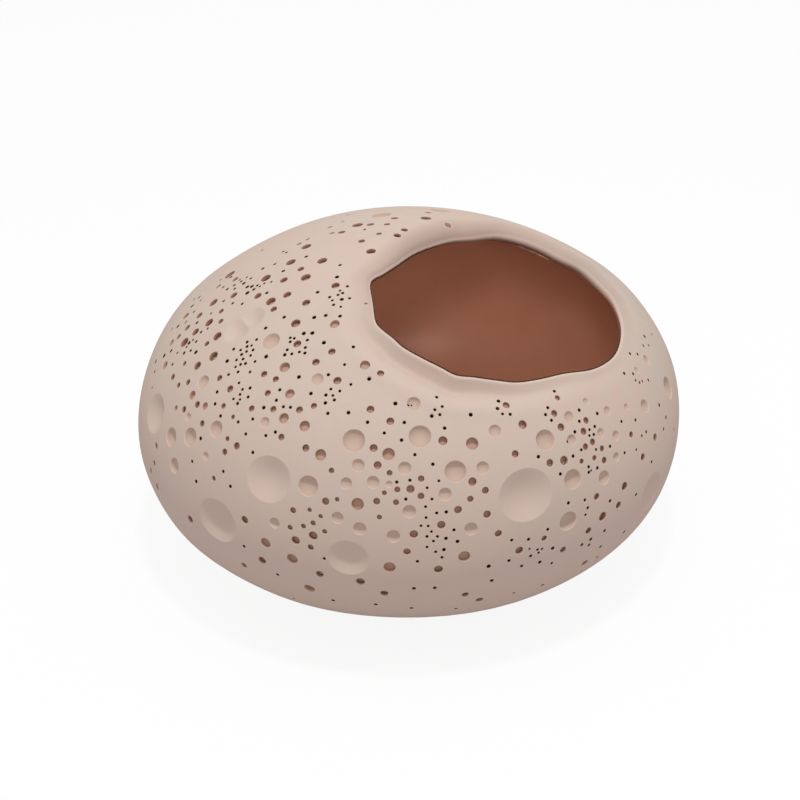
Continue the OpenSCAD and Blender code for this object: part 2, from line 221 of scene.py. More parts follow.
lipSteps = np.arange(len(lipPixels) * collarForm["steps"]) / collarForm["steps"]
lipStation = around(lipSteps / 4, collarStations)
lipStation[:, :5] *= mm
seenOutline = placeOnOval(around(lipSteps, lipPixels), lipStation[:, 2])
mouthMiddle = seenOutline.mean(axis=0)
awayFromMiddle = seenOutline - mouthMiddle
awayFromMiddle /= np.linalg.norm(awayFromMiddle, axis=1, keepdims=True)
lipOutline = seenOutline + awayFromMiddle * lipStation[:, 4:5]
lipBase = lipOutline + outWay(lipOutline) * lipStation[:, 2:3]     # the same line before the lip drops
mouthAxis = mouthMiddle / np.linalg.norm(mouthMiddle)
sideWay = np.cross([0, 0, 1], mouthAxis)
sideWay /= np.linalg.norm(sideWay)
riseWay = np.cross(mouthAxis, sideWay)


def mouthAngles(points):  # angle from the mouth's axis, and angle round it
    side, rise = points @ sideWay, points @ riseWay
    return np.arctan2(np.hypot(side, rise), points @ mouthAxis), np.arctan2(rise, side)


def mouthWay(tilt, turn):
    aside = sideWay * np.cos(turn)[..., None] + riseWay * np.sin(turn)[..., None]
    return mouthAxis * np.cos(tilt)[..., None] + aside * np.sin(tilt)[..., None]


columnTurns = 2 * math.pi * np.arange(potForm["columns"]) / potForm["columns"] - math.pi
lipOpen, lipTurn = mouthAngles(lipBase)
order = np.argsort(lipTurn)


def alongColumns(values):  # values given along the lip, at each column round the mouth
    turns = lipTurn[order]
    return np.interp(columnTurns, np.concatenate([turns - 2 * math.pi, turns, turns + 2 * math.pi]),
                     np.tile(values[order], 3))


columnOpen = alongColumns(lipOpen)
columnStation = np.stack([alongColumns(lipStation[:, k]) for k in range(lipStation.shape[1])], axis=1)

# thumb-wide hollows: centre and width in the photo's pixels
hollowPixels = [
    (526, 496, 55), (268, 479, 46), (217, 521, 46), (348, 559, 38), (252, 318, 25), (237, 330, 27),
    (651, 492, 40), (155, 414, 38),
]
hollowForm = {"depth": 0.15, "reach": 0.52}     # shares of the width
# dimples pressed with a ball
ballPixels = [
    (353.5, 440.3, 22), (420, 436.2, 21.5), (455.5, 471.5, 21), (545, 440, 20), (572.5, 479.3, 19.5),
    (568.5, 521.3, 19.5), (668, 388, 22), (645, 406, 13), (381.4, 215.3, 18.5), (440.5, 210.5, 19),
    (271, 341, 18), (203, 382, 14), (216, 429, 16), (188, 417, 8), (190, 437, 18), (171, 437, 18),
    (174.5, 465.5, 15), (205.5, 456, 8), (317, 378.5, 12),
    (264.5, 422, 10), (308, 486, 20),
    (393.3, 536.7, 13), (359.5, 529, 13), (358, 465.3, 12.5), (404.7, 468.3, 12.8), (373, 482.3, 12.3),
    (389, 484.3, 6.8), (346, 483.5, 11.5), (409.3, 511.7, 13), (445.2, 494.3, 12.8), (482.8, 467.8, 12.5),
    (471, 528.8, 13), (413.5, 404, 13), (495, 431, 12.3), (569, 417, 11), (571.3, 440, 10.5), (601, 433, 9.5),
    (616, 435.5, 9.5), (616.3, 457, 9), (604, 477.7, 14), (637, 370, 6.5), (646.3, 360, 9.5),
    (607.7, 410.7, 8.8), (627, 407, 7), (337.3, 518, 12), (274.5, 523, 11),
    (585.8, 401.7, 7),
]
# shallow holes with a crisp rim
scoopPixels = [
    (388.5, 454, 12.8), (357.5, 504.3, 13), (472.3, 443.5, 12.9), (389.5, 567.7, 12.5), (464.3, 556.5, 12.5),
    (292, 559, 12), (265.5, 543, 11.5), (309.3, 588.7, 11.5), (365, 365.3, 10.8), (307.5, 239, 5),
    (299, 243.5, 6), (332, 233, 6), (342.5, 222, 5), (448.5, 221.8, 7), (218, 286.5, 6), (172, 343, 8),
    (186, 322.5, 5), (171.5, 329.5, 5), (165.5, 365.5, 9), (192, 395, 9.5), (205, 406, 8), (175.5, 408, 6),
    (284.5, 367, 11.5), (283.5, 418, 11), (304.3, 425.8, 11.5), (320.4, 454.8, 12), (289.5, 393.5, 10.5),
    (334.5, 324, 10.5), (365.3, 299.8, 3.6),
]
# drilled holes
drillPixels = [
    (330, 227, 5), (341.5, 232, 7.5), (306, 246, 10.5), (290.5, 261.5, 10.5), (322, 260.3, 10.5),
    (300.5, 268.5, 7.5), (265.5, 277.5, 11), (283.5, 279.5, 8.5), (305.5, 277, 10.8), (335.5, 285.5, 9),
    (229.5, 274.3, 12), (235, 279, 7), (357.5, 225, 11), (370.5, 224.5, 7.5), (387, 224.3, 6.5),
    (394.5, 218.5, 7.5), (426, 218.3, 11), (428, 213, 6.5), (404.5, 229.3, 7), (397.5, 234.5, 7.5),
    (379, 233.5, 6), (361.5, 240.7, 7.2), (371, 251, 10), (233.5, 295, 8.5), (257.5, 295.5, 8.5),
    (270.5, 301, 11), (287, 294.5, 9), (306, 302.5, 9), (273.5, 309, 7.5), (295.5, 323, 10.5),
    (297, 343.5, 8.8), (331.5, 351, 8), (315.5, 361.5, 8.3), (213.5, 302.5, 10), (221, 311, 6.5),
    (186, 316, 8), (199.5, 315.5, 8), (209, 322.5, 10), (220.5, 321, 6.5), (187.5, 328, 7.5),
    (195.5, 332, 9), (217, 336, 10.5), (179, 337, 6.5), (184.5, 342.5, 11), (206.5, 343.5, 6.5),
    (213, 356, 11), (184.3, 363.3, 5.5), (197, 365.5, 9.5), (172.5, 377, 7), (178, 385, 6),
    (187.5, 382, 6.5), (219.5, 378, 7), (230, 389, 8), (197, 404.5, 7.5), (223.5, 406, 6),
    (183.5, 409.3, 7), (202, 423.5, 7), (227.3, 438.8, 5.5), (264, 374, 7.5), (275.5, 379, 7.2),
    (267.5, 393, 7.2), (337, 380, 8.8), (251.5, 408.5, 7), (273, 409, 7.2), (299, 409.5, 7.8),
    (313.5, 405.5, 6.8), (233, 417, 5), (281, 437, 7.2), (156, 446, 6.5), (154, 463, 6), (150.5, 470.5, 6),
    (157, 486.5, 7), (224.5, 452, 7), (213.5, 478.5, 5.5), (190.5, 519, 8), (236.5, 446, 7.8),
    (305.5, 448, 8), (331.3, 470.6, 6.2), (325.5, 501.5, 8), (337, 499.5, 5), (293, 510.5, 6.8),
    (309.5, 510, 5), (320.5, 516.5, 5), (244.5, 520, 8.5), (295.5, 540.5, 9.4), (310.5, 547.6, 6.8),
    (262, 560.5, 8.8), (243.8, 565.6, 6.8), (319.5, 574.6, 8.2), (360.3, 582, 9.2), (384.3, 593.4, 8.2),
    (438.5, 569.4, 9.3), (465.3, 594.8, 7.4), (479.5, 600, 7.9), (407, 552, 7.7), (413.8, 534.5, 8.9),
    (498.3, 533.5, 7.8), (290, 527.6, 6), (303.3, 526.3, 5.6), (313, 523.3, 6), (324.5, 531.8, 5.5),
    (313, 536, 9.6), (441.3, 525, 8.7), (544.5, 538.5, 6.4), (519.5, 550.7, 8.8), (589, 531, 7.6),
    (563.6, 550.2, 7.2), (585, 563.2, 7.6), (373.5, 448, 8.5), (377.5, 465.2, 8.4), (389.5, 473, 6.3),
    (421.2, 478.8, 6.9), (410.5, 489.2, 8.6), (397.3, 489.7, 6.4), (384.3, 493, 5.3), (421, 496.2, 7.3),
    (376.6, 501.5, 7.4), (396, 502.5, 6.4), (379.3, 517.4, 5.6), (443, 440.7, 9.7), (515, 454, 7.8),
    (549.4, 463, 8.2), (563.6, 460.5, 9.5), (472.4, 481.7, 8.9), (485.3, 490.4, 7.5), (470.3, 498.9, 6.8),
    (458, 509.8, 8.3), (487, 514.2, 8.2), (585.3, 446.8, 7.1), (592.5, 442, 7.2), (602, 448.5, 6.4),
    (642.8, 457, 7.6), (594.3, 458, 5.9), (581.3, 461.3, 5.6), (604.3, 460.3, 7.1), (624.6, 486.3, 8.9),
    (596.8, 496.7, 7.5), (618.6, 505.2, 7.7), (603, 516.8, 10), (380.7, 373.5, 7.6), (370.3, 409, 8.3),
    (390.2, 421, 8.3), (506.5, 404.5, 7.4), (522.5, 424.8, 9.3), (557.5, 397.7, 5.9), (554, 413.7, 7.3),
    (586, 420.5, 7.1), (560.7, 427.3, 8.3), (583.4, 431.5, 7.7), (631.5, 434.5, 6.4), (655, 437.3, 7.7),
]
# needle holes
pinPixels = [
    (230.5, 277, 3.5), (220.5, 279.5, 3), (219, 285.5, 3.5), (223, 287, 3), (234, 285, 3.2), (227, 289, 3.5),
    (234.5, 288.5, 3), (239.5, 279.5, 2.5), (243.5, 283, 4), (241, 281, 3), (247, 286.5, 4), (251.5, 286, 4),
    (257, 285, 3), (259.5, 286, 2.5), (253.5, 289, 3.5), (264, 283, 2.5), (271, 281.5, 2.5), (250.5, 278, 3),
    (246.5, 277, 2.5), (262.5, 268, 3.5), (274.5, 263.5, 3), (262, 250, 3), (283, 251, 3), (286, 252, 3),
    (306, 256, 3.5), (283, 270.5, 3.5), (340, 265, 3), (337, 277, 4), (347.3, 285.5, 3), (340, 290.5, 2.5),
    (342.6, 292.7, 3), (338, 294.8, 2.8), (329.5, 297, 3), (349.4, 297, 2.8), (341.8, 299, 3.8),
    (332.3, 300.3, 2.6), (333.5, 304.7, 3), (340.7, 306.5, 2.4), (317.5, 292, 3.5), (364.5, 229.5, 3),
    (347.5, 215, 4), (247, 292.5, 4.5), (266.5, 292.5, 3.5), (232.5, 303, 3), (242, 303.5, 3), (194, 299, 3),
    (199, 297, 3.5), (200.5, 300.5, 2.5), (192, 306, 4), (194, 312, 3), (223.5, 301, 3), (211, 313.5, 2.5),
    (197, 323, 3.5), (207.5, 328.5, 2.5), (201, 332, 3), (178, 326.5, 4), (193, 340, 2.5), (196, 341.5, 3),
    (189, 343, 4), (186.5, 347, 2.5), (190.5, 350.5, 3), (195.5, 352, 4), (184, 353, 3.5), (177.5, 353, 2.5),
    (171.5, 351, 3.5), (164.5, 356, 4.5), (284, 317, 3.5), (314, 317, 4), (325.5, 315, 3.5),
    (340, 315.8, 3.5),
    (265.5, 328, 3.5), (303.5, 333, 4), (312, 332.5, 4), (290, 337.5, 2.8), (294, 338, 2.8), (290, 341.5, 3),
    (307, 339.5, 3), (323.5, 342, 4), (256.5, 339.5, 3), (247, 342, 3.2), (247, 346.5, 3.2),
    (251.5, 345.5, 2.5), (233.5, 349, 3.2), (240.5, 350, 2.8), (246.5, 351.5, 3), (253, 350, 3),
    (241.5, 354.5, 3.2), (250.5, 355.5, 2.8), (243, 359, 3), (236.5, 360, 2.8), (266, 356.5, 4),
    (287, 349.5, 3), (284.5, 354.5, 3.5), (291.5, 353.5, 3), (299, 351.5, 2.8), (304.5, 352.5, 3.2),
    (305, 347, 3), (353.4, 346.6, 3.4), (156, 361.5, 4), (155, 372, 3), (172.5, 364.5, 3), (227, 361, 4),
    (228.5, 374.5, 3), (217, 392, 3.2), (215, 404, 3.2), (220.5, 416, 3.2), (200.5, 438.5, 3.5),
    (152.5, 388, 2.5), (240.5, 364.5, 3), (245.5, 363.5, 3.2), (255, 361.5, 2.8), (235.5, 367, 2.6),
    (238, 372, 3), (250, 372, 2.8), (298.5, 376.5, 3.8), (328, 374, 3.2), (239, 383, 2.8),
    (242.5, 389.5, 2.8),
    (250, 388, 3.2), (279.5, 389.5, 3.2), (240, 394.5, 2.8), (248, 397, 3), (233.5, 399, 2.6),
    (240, 399.5, 2.4),
    (237.5, 403.5, 3.2), (276, 400, 3.2), (263.5, 407.5, 3.6), (283, 406.5, 3), (290, 407, 3),
    (310.5, 393, 3.5), (325.5, 394.5, 3.2), (332.5, 395, 2.6), (334, 399.5, 3), (330.5, 388.5, 2.8),
    (339.5, 390.5, 2.8), (325, 402.5, 3.4), (327.5, 413, 3.2), (252.5, 419, 3), (238, 422, 3),
    (245.5, 434, 3),
    (265.5, 435.5, 3), (275, 432, 3.2), (192, 461.5, 3), (196, 481.5, 3.4), (223, 471.5, 3),
    (230, 486.5, 3.2),
    (252.5, 452.5, 3.2), (243.8, 546.5, 3), (324, 559, 2.8), (277.5, 575, 3), (293.5, 599, 3),
    (333, 600.7, 3.5), (375.7, 604.5, 3.5), (411.5, 608, 3.3), (456, 608.5, 3), (421, 526, 2.5),
    (428.2, 526.2, 2.5), (431.5, 531.8, 2.5), (427, 536.7, 2.8), (437.5, 536.6, 2.7), (446, 538.5, 3.3),
    (433.5, 541.3, 2.6), (457.5, 541.5, 3.5), (427, 547.3, 2.6), (444, 549.8, 3.5), (435.7, 552, 2.7),
    (442, 557.5, 2.8), (417.5, 561.7, 3), (488.8, 566.6, 4), (492, 581, 3.5), (414, 588.5, 3.4),
    (434.8, 588, 3.4), (454, 530, 3), (511.8, 540.2, 3), (528.7, 539.6, 3.2), (548, 529.6, 3),
    (529.8, 549.2, 2.2), (537.9, 550.1, 2.6), (542.4, 549.4, 2.4), (539.1, 553.2, 2.6), (531, 556.5, 3),
    (553.2, 548.8, 3.6), (509.2, 561, 3.2), (540.3, 562.8, 3.5), (552.3, 563.8, 2.8), (522, 566.6, 3),
    (542.8, 585.4, 3.2), (514, 593.3, 2.5), (591.3, 539.7, 3.4), (582.5, 545.2, 3.2), (589.6, 545.4, 3),
    (601, 547, 3.2), (605, 531, 3.2), (624.2, 532, 3.4), (581, 571, 2.8), (597.3, 557.5, 3),
    (414.9, 454.7, 3), (432.9, 464.3, 3.2), (396.7, 482.2, 3), (409.9, 480.3, 3), (438.9, 481, 2.6),
    (427.1, 487.9, 2.5), (405.8, 499.3, 3), (432, 499.2, 2.6), (425.6, 506.9, 2.6), (436.7, 513.1, 2.8),
    (446.3, 512.1, 3.2), (426.1, 517.8, 2.6), (401.5, 440, 3.3), (538, 456.8, 3.4),
    (567.5, 441.5, 3), (572.7, 456.2, 3.2), (581, 449.9, 2.8), (596, 449.6, 2.6),
    (610.2, 446.4, 3), (636.4, 449.7, 2.4), (624.8, 452.9, 2.8), (588.5, 466.9, 3), (597.3, 468, 3.1),
    (588.7, 472.3, 3), (591, 470.5, 2), (560, 474, 3.2), (585, 500, 3), (568.4, 503, 3.2), (610.3, 501, 3.3),
    (636, 494.5, 3), (588, 508, 3), (585.8, 515, 2.6), (651.4, 461.8, 3), (344.3, 364, 2.8),
    (350.6, 383.9, 2.8), (369, 378.8, 3.9), (395.3, 403.3, 3.9), (348.2, 412.3, 3.6), (367.4, 422, 3.3),
    (404.3, 422.2, 3.3), (384.2, 432.8, 3), (436.9, 396.3, 3), (442.2, 406.8, 2.8), (434.8, 410, 2.8),
    (439.8, 414.8, 2.9), (431.8, 416, 3.6), (444.7, 428, 3.3), (408.3, 404.5, 2.2), (411.5, 404, 2),
    (470.6, 415, 3.8), (499.4, 399.5, 3.6), (497.5, 408.4, 3.6), (502.3, 414.2, 2.6), (510, 414.6, 3),
    (547.5, 408, 3), (545.3, 414.9, 3), (555.3, 390.2, 3), (551.2, 420.5, 3), (579.2, 410.2, 3.2),
    (579.2, 421.4, 3), (597.5, 413.5, 3.2), (594.8, 426.6, 3), (589.4, 429.8, 2.6), (593.8, 434.6, 2.9),
    (589.3, 435.7, 2.6), (574.6, 432, 3.2), (622, 421.4, 2.8), (636, 420, 2.8), (646.3, 431.9, 2.8),
    (642, 435.8, 2.6), (625, 373, 3), (633.8, 373.5, 2.8), (636.3, 380.1, 2.4), (640.2, 382.3, 2.6),
    (642.8, 381, 2.2), (648.6, 380, 2.6), (659.3, 405.2, 3.4), (666, 417.4, 3.4), (663.5, 429.1, 3),
    (674.6, 429.6, 3), (644.5, 336.5, 3.4), (643.3, 345.8, 2.6), (648.5, 345.5, 2.6), (651.9, 334.4, 2.6),
    (630.5, 353.3, 3), (637.8, 354.2, 3), (638.3, 303.5, 3),
]

# wider: factor on the width, and what it gains where the clay turns away
# depth: millimetres, and a share of the width added to them
# section: from the bottom up, in half widths and depths
# floor and wall: how dark the painted shade makes a pit's two parts, from the depth "full" down
craterKinds = {
    "hollow": {
        "pixels": hollowPixels, "sides": 40, "wider": (1.2, 0), "depth": (0, hollowForm["depth"]),
        "full": 2 * mm, "floor": 0.0, "wall": 0.1,
        "section": [(0.12, -1), (0.3, -0.89), (0.48, -0.7), (0.65, -0.47), (0.8, -0.265),
                    (0.92, -0.12), (1.0, -0.05), (1.12, 0.02)],
    },
    "ball": {
        "pixels": ballPixels, "sides": 24, "wider": (1.06, 0), "depth": (0, 0.29),
        "full": 0.9 * mm, "floor": 0.1, "wall": 0.42,
        "section": [(0.25, -1), (0.52, -0.87), (0.75, -0.64), (0.9, -0.38), (0.985, -0.12), (1.05, 0.03)],
    },
    "scoop": {
        "pixels": scoopPixels, "sides": 22, "wider": (1, 0), "depth": (0, 0.46),
        "full": 0.4 * mm, "floor": 0.3, "wall": 0.5,
        "section": [(0.62, -1), (0.86, -0.9), (0.95, -0.6), (0.96, -0.1), (1.05, 0.06)],
    },
    "drill": {
        "pixels": drillPixels, "sides": 18, "wider": (1, 0.1), "depth": (0.35, 0.46),
        "full": 0.35 * mm, "floor": 0.38, "wall": 0.8,
        "section": [(0.6, -1), (0.9, -0.86), (0.94, -0.08), (1.16, 0.03)],
    },
    "pin": {
        "pixels": pinPixels, "sides": 9, "wider": (1.1, 0.1), "depth": (2.8, 0),
        "full": 0.15 * mm, "floor": 0.2, "wall": 1.0,
        "section": [(0.75, -1), (0.98, -0.06), (1.42, 0.015)],
    },
}
craterForm = {
    "apart": 0.64,              # craters nearer than this share of both widths are cut one after the other
    "rimWidth": 0.3 * mm,       # painted highlight: pale line round a crater
    "smoothBelow": 38,          # edges flatter than this are shaded smooth, in degrees
}
kindNames = list(craterKinds)

# the same craters go round the hidden sides: a turned set fills what the sets before it don't see
hiddenSides = {"turns": (0, 180, -90, 90), "share": 0.06, "bare": 52 * mm}


def turnedBy(points, turn):
    a = math.radians(turn)
    spin = np.array([[math.cos(a), -math.sin(a), 0], [math.sin(a), math.cos(a), 0], [0, 0, 1]])
    return points @ spin.T


def allRound(pixels, wider=(1, 0)):  # place, outward way and width of a list of craters, on every side
    pixels = np.asarray(pixels, float)
    seen = placeOnOval(pixels[:, :2])
    away = np.linalg.norm(seen - viewAxes()[0] * photoView["away"], axis=1)
    facing = np.clip(outWay(seen) @ viewAxes()[0], 0, 1)
    widths = pixels[:, 2] * away / photoView["focal"] * wider[0] * (1 + wider[1] * (1 - facing))
    kept = []
    for k, turn in enumerate(hiddenSides["turns"]):
        spots = turnedBy(seen, turn)
        out = outWay(spots)
        free = np.ones(len(spots), bool)
        for before in hiddenSides["turns"][:k]:
            unseen = out @ viewAxes(before)[0] < -hiddenSides["share"]
            bare = np.hypot(*(spots - turnedBy(mouthMiddle, before))[:, :2].T) < hiddenSides["bare"]
            free &= unseen | (bare & (before != 0))
        kept.append(np.column_stack([spots, out, widths])[free])
    return np.concatenate(kept)


hollows = allRound(hollowPixels)
handSines = np.random.RandomState(potForm["handSeed"]).normal(size=(potForm["handWaves"][0], 5))
print("hollows placed:", len(hollows))


def sunkBy(points, hollowed=True):  # how far hand, hollows and collar sink the skin below the oval
    sunk = np.zeros(len(points))
    shortest, longer = potForm["handWaves"][1:]
    for row in handSines:
        way = row[:3] / np.linalg.norm(row[:3])
        waves = points @ way / (shortest + longer * abs(row[3])) + 3 * row[4]
        sunk += potForm["handWork"] / 3 * np.sin(waves)
    for row in hollows if hollowed else ():
        apart = np.linalg.norm(points - row[:3], axis=1) / (row[6] * hollowForm["reach"])
        sunk += hollowForm["depth"] * row[6] * np.clip(1 - apart ** 2, 0, 1)
    near = np.flatnonzero(np.linalg.norm(points - mouthMiddle, axis=1) < collarForm["felt"])
    for part in np.array_split(near, 1 + len(near) // 4000):
        apart = np.linalg.norm(points[part][:, None, :] - lipBase[None], axis=2)
        least = apart.min(axis=1, keepdims=True)
        weight = np.exp(-((apart - least) / collarForm["blend"]) ** 2)
        station = weight @ lipStation / weight.sum(axis=1, keepdims=True)
        x = least[:, 0] / station[:, 0]
        sunk[part] += softCurve(x, *collarForm["dishCurve"]) * station[:, 1]
        sunk[part] += softCurve(x, *collarForm["dropCurve"]) * station[:, 2]
        sunk[part] -= softCurve(x, *collarForm["ridgeCurve"]) * collarForm["ridge"] * station[:, 1]
    return sunk


def widening(count, first, total, most):  # shares of rings that start close together and widen to a limit
    low, high = 1.0001, 1.5
    for _ in range(60):
        ratio = (low + high) / 2
        steps = np.minimum(first * ratio ** np.arange(count), most)
        low, high = (ratio, high) if steps.sum() < total else (low, ratio)
    return np.concatenate([[0], np.cumsum(steps)]) / steps.sum()


def marchOut(ways, inset, edge):
    reach = np.full(len(ways), 30 * mm)
    for _ in range(80):
        reach = reach - potGap(ways * reach[:, None], inset, edge)
    return ways * reach[:, None]


# the skin of the pot: outside from the lip to the pole under it, lip, inside
shares = widening(potForm["outerRings"], collarForm["finest"], potForm["outerReach"], potForm["outerWidest"])
opens = columnOpen + (math.pi - columnOpen) * shares[:, None]
turns = np.broadcast_to(columnTurns, opens.shape)
outerBase = marchOut(mouthWay(opens, turns).reshape(-1, 3), 0.0, potForm["footEdge"])
outerSkin = (outerBase - outWay(outerBase) * sunkBy(outerBase, False)[:, None]).reshape(*opens.shape, 3)
outerSkin[..., 2] = np.maximum(outerSkin[..., 2], -seamHeight)

lipPlace = outerSkin[0]
along = np.roll(lipPlace, -1, axis=0) - np.roll(lipPlace, 1, axis=0)
along /= np.linalg.norm(along, axis=1, keepdims=True)
inward = lipPlace - outerSkin[2]
inward -= along * (inward * along).sum(axis=1, keepdims=True)
inward /= np.linalg.norm(inward, axis=1, keepdims=True)
lipUp = np.cross(along, inward)
lipUp *= np.sign((lipUp * lipPlace).sum(axis=1, keepdims=True))
lipRound = columnStation[:, 3:4]


def onLip(degrees):  # point of the lip's rounding, and the way it faces
    a = np.radians(degrees)[:, None]
    way = lipUp * np.cos(a) + inward * np.sin(a)
    return lipPlace - lipUp * lipRound + way * lipRound, way


lipRingTurns = collarForm["lipTurn"] * np.arange(1, potForm["lipRings"] + 1) / potForm["lipRings"]
lipSkin = np.stack([onLip(np.full(potForm["columns"], t))[0] for t in lipRingTurns])

endOpen = mouthAngles(lipSkin[-1])[0]
innerShares = widening(potForm["innerRings"], potForm["innerFinest"], potForm["innerReach"],
                       potForm["innerWidest"])[1:]
innerOpens = endOpen + (math.pi - endOpen) * innerShares[:, None]
fromLip = (innerOpens - columnOpen) * np.linalg.norm(lipPlace, axis=1)
grown = softCurve(fromLip / collarForm["wallGrows"], (0, 1), (0, 1))
thinWall = columnStation[:, 2] + collarForm["lipShare"] * columnStation[:, 3]
innerInset = thinWall + (potForm["wall"] - thinWall) * grown
innerInset += softCurve(fromLip / columnStation[:, 0], *collarForm["insideCurve"]) * columnStation[:, 1]
innerTurns = np.broadcast_to(columnTurns, innerOpens.shape)
innerSkin = marchOut(mouthWay(innerOpens, innerTurns).reshape(-1, 3), innerInset.ravel(),
                     potForm["innerEdge"])
innerWays = -outWay(innerSkin, potForm["innerEdge"]).reshape(*innerOpens.shape, 3)
innerSkin = innerSkin.reshape(*innerOpens.shape, 3)
lipReach = np.linalg.norm(lipPlace - mouthMiddle, axis=1).mean()
print("skin worked out, lip", round(lipReach / mm, 1), "mm from its middle")


def shapeSphere(name, grid, marks={}):  # a sphere whose rings are moved to the rings of a grid
    rings, columns = grid.shape[0] - 1, grid.shape[1]
    bpy.ops.object.select_all(action="DESELECT")
    bpy.ops.mesh.primitive_uv_sphere_add(segments=columns, ring_count=rings, radius=1)
    piece = bpy.context.object
    piece.name = piece.data.name = name
    points = np.empty(len(piece.data.vertices) * 3)
    piece.data.vertices.foreach_get("co", points)
    points = points.reshape(-1, 3)
    ring = np.rint(np.arccos(np.clip(points[:, 2], -1, 1)) / math.pi * rings).astype(int)
    column = np.rint(-np.arctan2(points[:, 1], points[:, 0]) / (2 * math.pi) * columns).astype(int) % columns
    moved = grid[ring, column] + [0, 0, seamHeight]
    piece.data.vertices.foreach_set("co", moved.ravel())
    for markName, values in marks.items():
        mark = piece.data.attributes.new(markName, "FLOAT", "POINT")
        mark.data.foreach_set("value", values[ring, column])
    piece.data.update()
    bpy.ops.object.mode_set(mode="EDIT")
    bpy.ops.mesh.select_all(action="SELECT")
    bpy.ops.mesh.remove_doubles(threshold=0.002 * mm)   # where columns run together
    bpy.ops.mesh.normals_make_consistent(inside=False)
    bpy.ops.object.mode_set(mode="OBJECT")
    bpy.ops.object.shade_smooth()
    return piece


# the glaze's colour where it ran thin over the rounding, and beside it a stain that also paints the shade of
# the slope into the mouth
stainAndShade = columnStation[:, 7]
besideLip = (opens - columnOpen) * np.linalg.norm(lipPlace, axis=1) / columnStation[:, 0]
stainAndShadeBeside = softCurve(besideLip, *collarForm["stainAndShadeCurve"]) * stainAndShade
runLength = collarForm["runTo"] - collarForm["runFrom"]
ranOver = np.clip((lipRingTurns[:, None] - collarForm["runFrom"]) / runLength, 0, 1)
ranOver = ranOver ** 1.2 * np.clip(1 - columnStation[:, 6] * 1.6, 0, 1)
glazeStainAndShade = np.concatenate([stainAndShadeBeside[::-1], stainAndShade + (1 - stainAndShade) * ranOver, np.zeros(innerOpens.shape)])
# painted highlight: a pale line along the lip's edge, left off where the stain lies
paleBeside = np.clip(1 - besideLip * columnStation[:, 0] / collarForm["paleWidth"], 0, 1)
paleRound = np.clip(1.6 - lipRingTurns[:, None] / collarForm["paleFrom"], 0, 1)
edgeHighlight = np.concatenate([paleBeside[::-1], paleRound * np.ones(potForm["columns"]),
                           np.zeros(innerOpens.shape)]) * np.clip(1 - stainAndShade, 0, 1) ** 4
clay = shapeSphere("clay_pot", np.concatenate([outerSkin[::-1], lipSkin, innerSkin]),
                   {"glazeStainAndShade": glazeStainAndShade, "edgeHighlight": edgeHighlight})
print("clay:", len(clay.data.polygons), "faces before the craters")


# cutters: one of each kind, turned from a disc by extruding and resizing it
def makeCutter(kind):
    section = kind["section"] + [(kind["section"][-1][0], 1.0)]
    radius, height = section[0]
    bpy.ops.mesh.primitive_circle_add(vertices=kind["sides"], radius=radius, fill_type="NGON",
                                      location=(0, 0, height))
    cutter = bpy.context.object
    bpy.ops.object.transform_apply(location=True)
    bpy.ops.object.mode_set(mode="EDIT")
    bpy.ops.mesh.select_all(action="SELECT")
    for nextRadius, nextHeight in section[1:]:
        wider = nextRadius / radius
        bpy.ops.mesh.extrude_region_move(TRANSFORM_OT_translate={"value": (0, 0, nextHeight - height)})
        bpy.ops.transform.resize(value=(wider, wider, 1), center_override=(0, 0, nextHeight))
        radius, height = nextRadius, nextHeight
    bpy.ops.mesh.select_all(action="SELECT")
    bpy.ops.mesh.normals_make_consistent(inside=False)
    bpy.ops.object.mode_set(mode="OBJECT")
    return cutter


def standAlong(place, way):  # matrix that stands a cutter at a place with its axis along a way
    turn = Vector(way).to_track_quat("Z", "Y").to_matrix().to_4x4()
    return Matrix.Translation(Vector(place)) @ turn


craters = []
for number, kindName in enumerate(kindNames):
    rows = allRound(craterKinds[kindName]["pixels"], craterKinds[kindName]["wider"])
    rows[:, :3] -= rows[:, 3:6] * sunkBy(rows[:, :3], kindName != "hollow")[:, None]
    craters += [(number, row) for row in rows]
    print(kindName, "marks:", len(rows))

# marks that touch one another go into different groups, so that each group cuts cleanly
groups = []
for number, row in sorted(craters, key=lambda c: -c[1][6]):
    for group in groups:
        if all(np.linalg.norm(row[:3] - other[:3]) > craterForm["apart"] * (row[6] + other[6])
               for _, other in group):
            group.append((number, row))
            break
    else:
        groups.append([(number, row)])

for name in ["skin"] + kindNames:
    clay.data.materials.append(bpy.data.materials.new("mark " + name))


def cutFrom(piece, cutter):
    cut = piece.modifiers.new("cut", "BOOLEAN")
    cut.operation = "DIFFERENCE"
    cut.solver = "MANIFOLD"
    cut.object = cutter
    bpy.context.view_layer.objects.active = piece
    bpy.ops.object.modifier_apply(modifier=cut.name)
    bpy.data.objects.remove(cutter)


cutters = []
for kindName in kindNames:
    bpy.ops.object.select_all(action="DESELECT")
    cutter = makeCutter(craterKinds[kindName])
    for name in ["skin"] + kindNames:
        cutter.data.materials.append(bpy.data.materials["mark " + name])
    faces = cutter.data.polygons
    faces.foreach_set("material_index", [1 + kindNames.index(kindName)] * len(faces))
    cutters.append(cutter)

for group in groups:
    bpy.ops.object.select_all(action="DESELECT")
    for number, row in group:
        fixed, share = craterKinds[kindNames[number]]["depth"]
        depth = fixed * mm + share * row[6]
        copy = cutters[number].copy()
        copy.data = cutters[number].data.copy()
        scene.collection.objects.link(copy)
        size = Matrix.Diagonal((row[6] / 2, row[6] / 2, depth, 1))
        copy.data.transform(standAlong(row[:3] + [0, 0, seamHeight], row[3:6]) @ size)
        copy.select_set(True)
        bpy.context.view_layer.objects.active = copy
    bpy.ops.object.join()
    cutFrom(clay, bpy.context.object)
    print("cut", len(group), "marks, clay has", len(clay.data.polygons), "faces")
for cutter in cutters:
    bpy.data.objects.remove(cutter)
